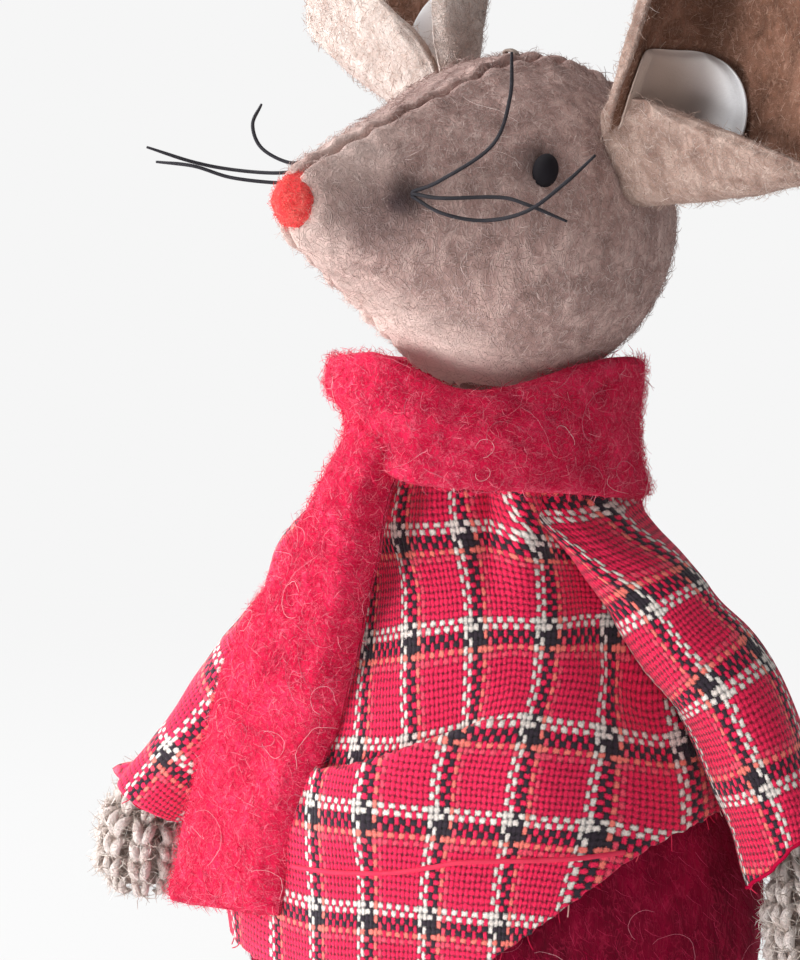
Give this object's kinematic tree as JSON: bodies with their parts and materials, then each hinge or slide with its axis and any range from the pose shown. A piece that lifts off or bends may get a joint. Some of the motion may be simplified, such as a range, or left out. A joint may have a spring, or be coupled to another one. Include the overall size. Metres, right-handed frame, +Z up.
{
  "type": "mouse hanging decoration",
  "caption": "Stuffed felt mouse hung from its crown, with folded ears, bead eyes, a check shirt, a wrapped felt scarf, felt trousers and knitted paws, feet and tail.",
  "frame": {"origin": "top of the thread tack on the crown of the head, the point that the decoration hangs from", "axes": "+Z up, along the hanging line and the longest extent; the body faces -Y; the mouse's left side is +X"},
  "size_m": [0.0852, 0.0551, 0.1677],
  "materials": {
    "head_felt": "grey-brown wool felt, fuzzy",
    "ear_felt": "warm beige wool felt, fuzzy",
    "lining_felt": "white smooth felt",
    "stuffing": "white fibre wadding",
    "nose_felt": "red felted wool ball",
    "eye_bead": "black polished bead",
    "whisker_thread": "stiff dark thread, satin",
    "sewing_thread": "grey sewing thread",
    "scarf_felt": "red wool felt, fuzzy",
    "check_cloth": "woven cotton, red check with white and dark stripes",
    "trouser_felt": "dark red long-fibred wool felt",
    "pale_knit": "pale beige knitted wool"
  },
  "bodies": {
    "head": {"head_felt_left": "head_felt", "head_felt_right": "head_felt", "head_stuffing": "stuffing", "nose": "nose_felt", "eye_left": "eye_bead", "eye_right": "eye_bead", "whisker_left_upper": "whisker_thread", "whisker_left_middle": "whisker_thread", "whisker_left_lower": "whisker_thread", "whisker_right_upper": "whisker_thread", "whisker_right_middle": "whisker_thread", "whisker_right_lower": "whisker_thread", "ear_left": "ear_felt", "ear_right": "ear_felt", "ear_lining_left": "lining_felt", "ear_lining_right": "lining_felt", "hanger_tack": "sewing_thread"},
    "torso": {"neck": "head_felt", "body_stuffing": "stuffing", "shirt_body": "check_cloth", "trousers_seat": "trouser_felt", "scarf_wrap": "scarf_felt"},
    "arm_left": {"sleeve_left": "check_cloth", "arm_knit_left": "pale_knit"},
    "arm_right": {"sleeve_right": "check_cloth", "arm_knit_right": "pale_knit"},
    "leg_left": {"trouser_leg_left": "trouser_felt", "leg_knit_left": "pale_knit"},
    "leg_right": {"trouser_leg_right": "trouser_felt", "leg_knit_right": "pale_knit"},
    "tail": {"tail": "pale_knit"},
    "scarf_end_front": {"scarf_end_front": "scarf_felt"},
    "scarf_end_back": {"scarf_end_back": "scarf_felt"}
  },
  "joints": [
    {"name": "neck_turn", "type": "hinge", "parent": "head", "child": "torso", "pos_m": [0, 0, -0.0316], "axis": [0, 0, 1], "range_deg": [-35, 25], "stiffness_Nm_per_rad": 0.002},
    {"name": "shoulder_left", "type": "hinge", "parent": "torso", "child": "arm_left", "pos_m": [0.0125, -0.00442, -0.04992], "axis": [0, -1, 0], "range_deg": [0, 45]},
    {"name": "shoulder_right", "type": "hinge", "parent": "torso", "child": "arm_right", "pos_m": [-0.0163, -0.00442, -0.04992], "axis": [0, 1, 0], "range_deg": [0, 45]},
    {"name": "hip_left", "type": "hinge", "parent": "torso", "child": "leg_left", "pos_m": [0.0077, -0.00712, -0.10952], "axis": [-1, 0, 0], "range_deg": [-15, 50]},
    {"name": "hip_right", "type": "hinge", "parent": "torso", "child": "leg_right", "pos_m": [-0.0115, -0.00712, -0.10952], "axis": [-1, 0, 0], "range_deg": [-15, 50]},
    {"name": "tail_swing", "type": "hinge", "parent": "torso", "child": "tail", "pos_m": [-0.0019, 0.0198, -0.09832], "axis": [1, 0, 0], "range_deg": [0, 70]},
    {"name": "scarf_front_swing", "type": "hinge", "parent": "torso", "child": "scarf_end_front", "pos_m": [-0.00962, -0.01724, -0.04152], "axis": [-0.9397, 0.342, 0], "range_deg": [0, 70]},
    {"name": "scarf_back_swing", "type": "hinge", "parent": "torso", "child": "scarf_end_back", "pos_m": [0.00189, 0.01711, -0.04152], "axis": [0.9848, -0.1736, 0], "range_deg": [0, 70]}
  ]
}
